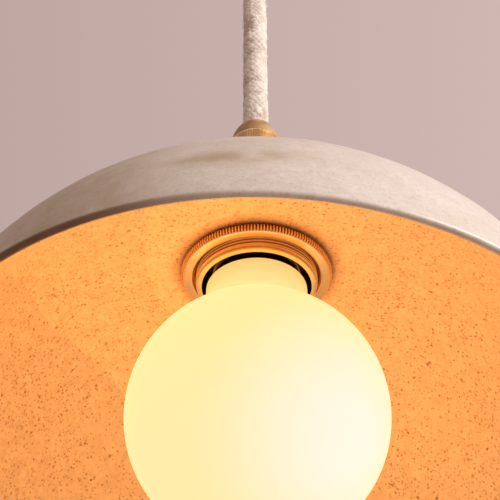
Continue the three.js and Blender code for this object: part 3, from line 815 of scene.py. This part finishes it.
def line_faces(piece, material, chosen):
    """Gives a second material to the faces whose middle is at a chosen radius and height."""
    piece.data.materials.append(material)
    for face in piece.data.polygons:
        x, y, z = face.center
        if chosen(math.hypot(x, y) / MM, (z - LIP) / MM):
            face.material_index = 1


def make_skirt(brass, black):
    """The lampholder's outer tube: lip, groove, and the long thread that the rings turn on."""
    top = heights("holder_skirt")[1]
    bore, crest, lip, groove, ledge = SKIRT.bore, SKIRT.thread, SKIRT.lip, SKIRT.groove, SKIRT.ledge
    outline = soften([(bore, 0, 0.25), (lip, 0, 0.15), (lip, 0.55, 0.1), (groove, 0.75, 0.1),
                      (groove, 1.2, 0.1), (crest, 1.5, 0.1)])
    outline += height_steps(crest, 1.6, top - 0.4, 0.1)
    outline += [(crest, top - 0.3), (crest - 0.3, top), (bore, top), (bore, ledge),
                (bore - 1.4, ledge), (bore - 1.4, ledge - 2), (bore, ledge - 3), (bore, ledge - 6)]
    cut = thread(SKIRT.pitch, SKIRT.depth, 1.5, top - 0.3, crest)
    piece = revolve("holder_skirt_threaded", outline, 160, brass, cut, sharp=50)
    # Painted shade: the bore above the lip is painted black, standing for the shade inside the holder.
    line_faces(piece, black, lambda r, h: r < bore + 0.1 and h > 0.6)
    dress(piece, "lampholder", "brass", "holder_skirt")


def bell(shoulder, top, base, crown, steps):
    """A quarter ellipse from a wide base up to a narrower crown."""
    return [(crown + (base - crown) * math.cos(a), shoulder + (top - shoulder) * math.sin(a))
            for a in np.linspace(0, math.pi / 2, steps + 1)]


def make_grip_nut(brass):
    """The bell-shaped nut that clamps the cord: a knurled band under a smooth crown."""
    low, high = heights("grip_nut")
    band, bore, band_low, band_high = NUT.band, NUT.bore, NUT.band_low, NUT.band_high
    outer = [(band - 1, low), (band - 0.6, low), (band - 0.5, low + 0.2)]
    outer += [(band - 0.5, band_low - 0.3), (band - 0.1, band_low + 0.1)]
    outer += [(band, h) for h in np.linspace(band_low + 0.3, band_high - 0.2, 20)]
    outer += [(band - 0.08, band_high), (band - 0.22, band_high + 0.15)]
    crown, cone, cone_low, cone_high, lean = 14, 7.85, 62, 66.6, 37
    outer += arc(-5.35, cone_low, crown, 5.5, lean, 20) + arc(5, high - 1, 1, lean, 90, 5)[1:]
    inner = [(bore + 0.25, high), (bore, high - 0.3), (bore, cone_high), (cone, cone_low)]
    ribs = knurl(NUT.ribs, 0.45, band_low, band_high + 0.05, band, 0.15, 2.2)
    piece = revolve("grip_nut_knurled", outer + inner, NUT.ribs * 8, brass, ribs, sharp=50)
    dress(piece, "bell_nut", "brass", "grip_nut")


def make_grip_body(brass):
    """The cord grip's hollow body: a nipple below its collar, and above it the bell nut's thread."""
    low, high = heights("grip_body")
    collar, nipple, outer = GRIP.collar, GRIP.nipple, GRIP.outer
    bore, flex_bore, seat = GRIP.bore, GRIP.flex_bore, GRIP.seat
    collar_low, collar_high = GRIP.collar_low, GRIP.collar_high
    corners = [(flex_bore, low, 0.2), (nipple, low, 0.5), (nipple, collar_low, 0.05),
               (collar, collar_low, 0.15), (collar, collar_high, 0.15), (outer, collar_high, 0.05),
               (outer, high, 0.4), (bore, high, 0.3), (bore, seat, 0.05), (flex_bore, seat, 0.1)]
    upper = nipple_thread(collar_high + 0.3, high - 0.2, outer)
    lower = nipple_thread(low, collar_low - 0.35, nipple)
    both = lambda angle, r, h: lower(angle, *upper(angle, r, h))
    piece = revolve("grip_body_threaded", split_long(soften(corners), 0.2), 128, brass, both)
    dress(piece, "lampholder", "brass", "grip_body")


def make_terminal_screws(brass):
    """The holder's three slotted terminal screws."""
    for pole in ("live", "earth", "neutral"):
        node = f"holder_terminal_{pole}"
        low, high = heights(node)
        middle = sum(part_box(node), Vector()) / 2
        shank, radius, head = 1.3, 3.1, high - 1.9
        profile = [(0, low), (shank - 0.3, low), (shank, low + 0.3), (shank, head)]
        profile += [(radius - 0.2, head), (radius, head + 0.2), (radius, head + 1.0)]
        profile += arc(radius - 0.9, head + 1.0, 0.9, 0, 85, 6)[1:] + [(0, high)]
        piece = revolve(f"{node}_slotted", profile, 48, brass)
        piece.data.transform(Matrix.Translation((middle.x, middle.y, 0)))
        x, y = middle.x / MM, middle.y / MM
        carve(piece, block("slot", (x - 5, y - 0.4, high - 0.8), (x + 5, y + 0.4, high + 2), brass))
        dress(piece, "lampholder", "brass", node)


def make_screw_shell(brass):
    """The lampholder's thin rolled shell, which the bulb's cap screws into."""
    low, top = heights("screw_shell")
    radius, wall, hole, thread_top = 14.1, 0.6, 7, 26
    outer = height_steps(radius, low, top - 0.3, 0.2)
    outer += [(radius - 0.3, top), (hole, top), (hole, top - wall)]
    inner = height_steps(radius - wall, low, top - wall, 0.2)[::-1]
    rolled = thread(EDISON.pitch, EDISON.depth, low + 0.4, thread_top, radius - wall)
    piece = revolve("screw_shell_rolled", split_long(outer + inner, 1.5), 96, brass, rolled)
    dress(piece, "lampholder", "brass", "screw_shell")


def make_bulb_cap(steel, black):
    """The bulb's thin rolled cap: a collar painted black as shade, a thread like the holder shell's, and
    a cone.
    """
    low, radius, wall, top, cone, collar = heights("bulb_cap")[0], 13.1, 0.5, 20.2, 23, 4.4
    outer = height_steps(radius, low, top, 0.2) + [(radius, top), (9.2, cone), (8.6, cone - 0.3)]
    inner = height_steps(radius - wall, low, top - 0.3, 0.2)[::-1]
    rolled = thread(EDISON.pitch, EDISON.depth, collar, top + 0.5, radius - wall)
    piece = revolve("bulb_cap_rolled", split_long(outer + inner, 0.5), 96, steel, rolled)
    # Painted shade: the cap below its thread is painted black, standing for the shade in the holder's
    # mouth.
    line_faces(piece, black, lambda r, h: h < collar)
    dress(piece, "bulb", "steel", "bulb_cap")


def make_holder_cap(brass):
    """The bell-shaped cap on top of the lampholder, over a short plain flange."""
    low, bottom, shoulder, top = 20, 25.7, 29, heights("holder_cap")[1]
    flange, spigot, base, crown, hole, wall = 20.2, 17.2, 18.6, 8.5, 5.35, 1.2
    outer = [(spigot - 1, low), (spigot, low), (spigot, bottom), (flange - 0.2, bottom)]
    outer += [(flange, bottom + 0.3), (flange, bottom + 1.7), (flange - 0.3, bottom + 2.2)]
    outer += [(base + 0.3, bottom + 2.4)] + bell(shoulder, top, base, crown, 28)
    outer += [(hole + 0.15, top), (hole, top - 0.15), (hole, top - wall)]
    inner = bell(shoulder, top - wall, base - 1.3, crown - 1, 16)[::-1]
    piece = revolve("holder_cap_turned", split_long(outer + inner, 1.5), 128, brass)
    dress(piece, "lampholder", "brass", "holder_cap")


def make_rose_cup(brass):
    """The ceiling cup, drilled for its two side screws, with a rounded lower edge."""
    low, high = heights("rose_cup")
    radius, wall, corner, hole = 50, 1.5, 7, 5.35
    outer = [(hole, low + 0.15), (hole + 0.15, low)]
    outer += arc(radius - corner, low + corner, corner, -90, 0, 14)
    outer += [(radius, high - 0.5), (radius - 0.3, high)]
    inner = [(radius - wall + 0.3, high), (radius - wall, high - 0.3)]
    inner += arc(radius - corner, low + corner, corner - wall, 0, -90, 10) + [(hole, low + wall)]
    piece = revolve("rose_cup_turned", split_long(outer + inner, 1.5), 192, brass)
    past, height, drill = radius + 10, SIDE_SCREW.height, SIDE_SCREW.shank + 0.3
    carve(piece, tubes("drill", [[(-past, 0, height), (past, 0, height)]], drill, 32, brass))
    dress(piece, "ceiling_rose", "brass", "rose_cup")


def make_cup_screws(brass):
    """The cup's two side screws: a slotted, domed head on a threaded shank."""
    height, shank, head = SIDE_SCREW.height, SIDE_SCREW.shank, SIDE_SCREW.head
    inner, seat = SIDE_SCREW.inner, SIDE_SCREW.seat
    profile = [(0, inner), (shank - 0.4, inner), (shank, inner + 0.4)]
    profile += height_steps(shank, inner + 0.5, seat, 0.12)
    profile += [(shank, seat), (head - 0.15, seat), (head, seat + 0.15), (head, seat + 1.0)]
    profile += arc(head - 1.2, seat + 1.0, 1.2, 0, 80, 6)[1:] + [(0, seat + 2.25)]
    cut = thread(0.7, 0.35, inner + 0.3, seat - 0.6, shank)
    for name, side in (("left", -1), ("right", 1)):
        piece = revolve(f"cup_screw_slotted_{name}", profile, 48, brass, cut)
        turn = Matrix.Rotation(side * math.pi / 2, 4, "Y") @ Matrix.Translation((0, 0, -LIP))
        piece.data.transform(Matrix.Translation((0, 0, LIP + height * MM)) @ turn)
        near, far = sorted((side * (seat + 1.3), side * (seat + 4)))
        carve(piece, block("slot", (near, -0.45, height - 5), (far, 0.45, height + 5), brass))
        dress(piece, "ceiling_rose", "brass", f"cup_screw_{name}")


def make_rose_grip(brass):
    """The grip under the ceiling cup: a stepped barrel with an open, rounded mouth."""
    low, high = heights("rose_grip")
    radius, collar, nipple, cavity, bore = 9.2, 11.5, 5.0, 7.5, 3.6
    groove_low, groove_high, cavity_top = 191.8, 193.2, 198.8
    barrel_top, collar_low, seat = 201.8, 203.4, 204.85
    corners = [(cavity, low, 0.5), (radius, low, 0.9), (radius, groove_low, 0.1),
               (radius - 0.35, groove_low + 0.3, 0.1), (radius - 0.35, groove_high - 0.3, 0.1),
               (radius, groove_high, 0.1), (radius, barrel_top, 0.6), (collar, collar_low, 0.4),
               (collar, seat, 0.2), (nipple, seat, 0.1), (nipple, high, 0.3), (bore, high, 0.2),
               (bore, cavity_top, 0.1), (cavity, cavity_top, 0.2)]
    cut = nipple_thread(seat + 0.3, high, nipple)
    piece = revolve("rose_grip_turned", split_long(soften(corners), 0.25), 128, brass, cut)
    grub_height, grub_radius = 200.4, 1.45
    drill = [(0, -14, grub_height), (0, -5, grub_height)]
    carve(piece, tubes("drill", [drill], grub_radius, 24, brass))
    return dress(piece, "ceiling_rose", "brass", "rose_grip")


# ---------------------------------------------------------------- bulb

GLOBE = Sizes(radius=40, centre=-50.1, neck=16.15, fillet=6, wall=1.1, top=-0.6,
              mouth=12.2)


def make_globe(opal):
    """The opal globe with its wide neck, filleted together and open at the top."""
    radius, centre, neck = GLOBE.radius, GLOBE.centre, GLOBE.neck
    fillet, wall, top, mouth = GLOBE.fillet, GLOBE.wall, GLOBE.top, GLOBE.mouth
    reach, side = radius + fillet, neck + fillet
    fillet_height = centre + math.sqrt(reach ** 2 - side ** 2)
    meet = math.degrees(math.acos(side / reach))
    outer = [(0, centre - radius)] + arc(0, centre, radius, -90, meet, 60)[1:]
    outer += arc(side, fillet_height, fillet, 180 + meet, 180, 10)[1:]
    outer += arc(neck - 0.9, top - 0.9, 0.9, 0, 90, 5)
    inner = [(mouth, top), (mouth, top - wall), (neck - wall, top - wall), (neck - wall, fillet_height)]
    inner += arc(0, centre, radius - wall, meet - 2, -90, 40)[:-1] + [(0, centre - radius + wall)]
    piece = revolve("bulb_globe", outer + inner, 128, opal, sharp=50)
    piece.visible_shadow = False
    dress(piece, "bulb", "opal_glass", "bulb_glass")


# ---------------------------------------------------------------- everything together


def make_paints():
    """The finishes by the frame's slot names, and five more: three brasses, one of them darkened as
    painted shade, a black painted as shade in the holder, and the fuzz.
    """
    return {
        "brass": brass_paint("lacquered_brass", (0.84, 0.6, 0.31), (0.68, 0.44, 0.2), 0.24),
        "pale_brass": brass_paint("pale_brass", (0.97, 0.78, 0.42), (0.9, 0.62, 0.28), 0.3, 0.00002),
        "brushed_brass":
            brass_paint("brushed_brass", (0.84, 0.64, 0.39), (0.7, 0.48, 0.26), 0.34, 0.00003),
        # Painted shade: a dark brass that stands for the shade inside the lampholder, used on its screw
        # shell.
        "painted_shade_brass": brass_paint("painted_shade_brass", (0.4, 0.2, 0.08), (0.25, 0.12, 0.05), 0.4),
        "steel": steel_paint(),
        "nylon": moulded_paint("nylon", (0.8, 0.77, 0.7), 0.5),
        "rubber": moulded_paint("rubber", (0.025, 0.022, 0.02), 0.7, 0.00006),
        "flex_sheath": moulded_paint("flex_sheath", (0.8, 0.78, 0.73), 0.45),
        "core_live": moulded_paint("live_core", (0.16, 0.06, 0.025), 0.42),
        "core_neutral": moulded_paint("neutral_core", (0.03, 0.1, 0.32), 0.42),
        "core_earth": moulded_paint("earth_core", (0.2, 0.36, 0.04), 0.42),
        "porcelain": moulded_paint("porcelain", (0.86, 0.84, 0.79), 0.2),
        "phenolic": moulded_paint("phenolic", (0.012, 0.006, 0.005), 0.6, level=0.15),
        # Painted shade: a black for the holder's bore and the bulb cap's collar, where the holder lies
        # in shade.
        "black_painted_shade": moulded_paint("black_painted_shade", (0.006, 0.003, 0.002), 0.85, level=0.05),
        "fibre": moulded_paint("washer_fibre", (0.1, 0.03, 0.012), 0.85, 0.0001),
        "black_glass": moulded_paint("black_glass", (0.012, 0.011, 0.012), 0.15),
        "phosphor": moulded_paint("phosphor", (0.95, 0.55, 0.08), 0.6),
        "circuit_board": moulded_paint("solder_mask", (0.02, 0.14, 0.05), 0.35),
        "stoneware": stoneware_paint(),
        "opal_glass": opal_paint(),
        "linen": linen_paint("linen_braid"),
        "linen_fibre": linen_paint("linen_fibre"),
    }


# Bevel widths in millimetres, by CAD node.
BEVELS = {
    "ceiling_bracket": 0.25, "terminal_block": 0.4, "rose_lock_nut": 0.3, "grip_lock_nut": 0.3,
    "block_terminal_live": 0.15, "block_terminal_earth": 0.15, "block_terminal_neutral": 0.15,
    "block_fixing_screw": 0.12, "centre_contact": 0.08, "bulb_driver_board": 0.12, "holder_core": 0.3,
}


def paint_cad_nodes():
    """Every CAD node gets its slot's finish. The wires are rounded, and the sharp edges of the
    nodes in BEVELS cut back."""
    slots = {row["node"]: row["material_slot"] for row in frame["record"]["subparts"]}
    for name, node in frame["nodes"].items():
        node.data.materials.clear()
        node.data.materials.append(PAINTS[slots[name]])
        node.data.polygons.foreach_set("use_smooth", [True] * len(node.data.polygons))
        node.data.set_sharp_from_angle(angle=math.radians(60 if name.startswith("led_") else 40))
        if "_wire_" in name:
            rounding = node.modifiers.new("round", "SUBSURF")
            rounding.levels, rounding.render_levels = 2, 2
        elif name in BEVELS:
            bevel = node.modifiers.new("edge", "BEVEL")
            bevel.width, bevel.segments, bevel.limit_method = BEVELS[name] * MM, 2, "ANGLE"
            bevel.harden_normals = True


make_camera()
PAINTS = make_paints()
make_cord(PAINTS["linen"], PAINTS["linen_fibre"], PAINTS["brass"])
paint_cad_nodes()
make_dome(PAINTS["stoneware"])
make_shade_ring("lower_ring_knurled", "lower_shade_ring", "lower_ring", PAINTS["pale_brass"], True)
make_shade_ring("upper_ring_knurled", "upper_shade_ring", "upper_ring", PAINTS["brass"], False)
make_skirt(PAINTS["pale_brass"], PAINTS["black_painted_shade"])
make_grip_nut(PAINTS["brushed_brass"])
make_grip_body(PAINTS["brass"])
make_holder_cap(PAINTS["brass"])
make_terminal_screws(PAINTS["brass"])
# Painted shade: the screw shell gets the darkened brass.
make_screw_shell(PAINTS["painted_shade_brass"])
make_rose_cup(PAINTS["brass"])
make_cup_screws(PAINTS["brass"])
make_globe(PAINTS["opal_glass"])
make_bulb_cap(PAINTS["steel"], PAINTS["black_painted_shade"])
make_world()
make_key_light()
make_bulb_light()
make_floor()
bpy.context.scene.view_settings.view_transform = "Standard"
